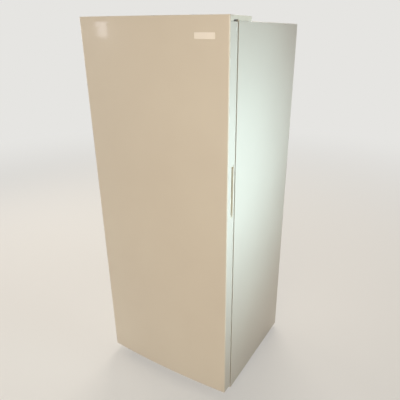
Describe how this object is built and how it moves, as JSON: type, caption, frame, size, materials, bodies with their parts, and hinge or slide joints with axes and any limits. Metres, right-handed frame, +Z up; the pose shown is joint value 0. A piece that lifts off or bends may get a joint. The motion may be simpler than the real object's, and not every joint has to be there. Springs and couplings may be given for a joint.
{
  "type": "upright freezer",
  "caption": "Free-standing upright freezer: tall enamelled steel cabinet with one bowed hinged door, inner shelves, bins, basket and rear cooling machinery.",
  "frame": {"origin": "on the floor, under the middle of the freezer's box", "axes": "+Z up, the door faces -Y, +X to the right of someone facing the door"},
  "size_m": [0.708, 0.6648, 1.743],
  "materials": {
    "white_enamel": "gloss enamel on steel sheet",
    "grey_sheet": "coated steel sheet",
    "zinc_steel": "zinc plated steel",
    "bright_steel": "ground steel",
    "foam": "rigid foam",
    "liner_plastic": "vacuum formed sheet",
    "white_plastic": "moulded",
    "trim_plastic": "moulded",
    "clear_plastic": "clear moulded",
    "glass": "toughened",
    "frosted_lens": "frosted",
    "gasket": "soft extruded",
    "badge": "moulded, blank",
    "aluminium": "mill finish",
    "black_steel": "black enamel",
    "copper": "drawn tube",
    "black_plastic": "moulded",
    "nylon": "moulded",
    "rubber": "moulded"
  },
  "bodies": {
    "cabinet": {"base_brackets": "zinc_steel", "base_front_rail": "zinc_steel", "base_pan": "zinc_steel", "bottom_basket": "trim_plastic", "bottom_deck": "zinc_steel", "bottom_hinge_bracket": "zinc_steel", "compressor": "black_steel", "compressor_grommets": "rubber", "condenser_coil": "black_steel", "condenser_fan_motor": "zinc_steel", "control_housing": "white_plastic", "cord_inlet_bush": "rubber", "defrost_heater": "aluminium", "drain_tube": "black_plastic", "drip_trough": "aluminium", "evaporation_pan": "black_plastic", "evaporator_coil": "aluminium", "evaporator_cover": "liner_plastic", "evaporator_fan_motor": "zinc_steel", "foam_insulation": "foam", "glass_shelf_1": "glass", "glass_shelf_2": "glass", "glass_shelf_3": "glass", "glass_shelf_4": "glass", "hinge_cover": "white_plastic", "hinge_hole_plugs": "white_plastic", "inner_liner": "liner_plastic", "lamp_lens": "frosted_lens", "outer_shell": "white_enamel", "pins_and_axles": "bright_steel", "rear_machine_cover": "grey_sheet", "rear_sheet": "grey_sheet", "reed_switch": "black_plastic", "refrigerant_lines": "copper", "relay_cover": "black_plastic", "screws": "bright_steel", "shelf_trims": "trim_plastic", "thermostat_body": "black_plastic", "top_hinge_bracket": "zinc_steel"},
    "door": {"door_skin": "white_enamel", "door_foam": "foam", "door_liner": "liner_plastic", "door_top_cap": "white_plastic", "door_bottom_cap": "white_plastic", "hinge_bushes": "nylon", "door_gasket": "gasket", "grip_inserts": "white_plastic", "badge_plate": "badge", "door_magnet": "black_plastic", "door_bin_1": "clear_plastic", "door_bin_2": "clear_plastic", "door_bin_3": "clear_plastic", "door_bin_4": "clear_plastic"},
    "evaporator_fan": {"evaporator_fan_blade": "black_plastic"},
    "condenser_fan": {"condenser_fan_blade": "black_plastic"},
    "roller_left": {"roller_left": "nylon"},
    "roller_right": {"roller_right": "nylon"},
    "foot_left": {"foot_left": "rubber"},
    "foot_right": {"foot_right": "rubber"},
    "thermostat_knob": {"thermostat_knob": "white_plastic"}
  },
  "joints": [
    {"name": "door_hinge", "type": "hinge", "parent": "cabinet", "child": "door", "pos_m": [0.34, -0.2945, 0.8715], "axis": [0, 0, 1], "range_deg": [0, 120]},
    {"name": "evaporator_fan_spin", "type": "hinge", "parent": "cabinet", "child": "evaporator_fan", "pos_m": [0, 0.231, 0.7], "axis": [0, -1, 0], "continuous": true},
    {"name": "condenser_fan_spin", "type": "hinge", "parent": "cabinet", "child": "condenser_fan", "pos_m": [-0.032, 0.2175, 0.166], "axis": [1, 0, 0], "continuous": true},
    {"name": "roller_left_spin", "type": "hinge", "parent": "cabinet", "child": "roller_left", "pos_m": [-0.3, 0.2805, 0.02], "axis": [1, 0, 0], "continuous": true},
    {"name": "roller_right_spin", "type": "hinge", "parent": "cabinet", "child": "roller_right", "pos_m": [0.3, 0.2805, 0.02], "axis": [1, 0, 0], "continuous": true},
    {"name": "foot_left_screw", "type": "slide", "parent": "cabinet", "child": "foot_left", "axis": [0, 0, -1], "range_m": [0, 0.012]},
    {"name": "foot_right_screw", "type": "slide", "parent": "cabinet", "child": "foot_right", "axis": [0, 0, -1], "range_m": [0, 0.012]},
    {"name": "thermostat_turn", "type": "hinge", "parent": "cabinet", "child": "thermostat_knob", "pos_m": [0.07, -0.1495, 1.6425], "axis": [0, -1, 0], "range_deg": [0, 270]}
  ]
}
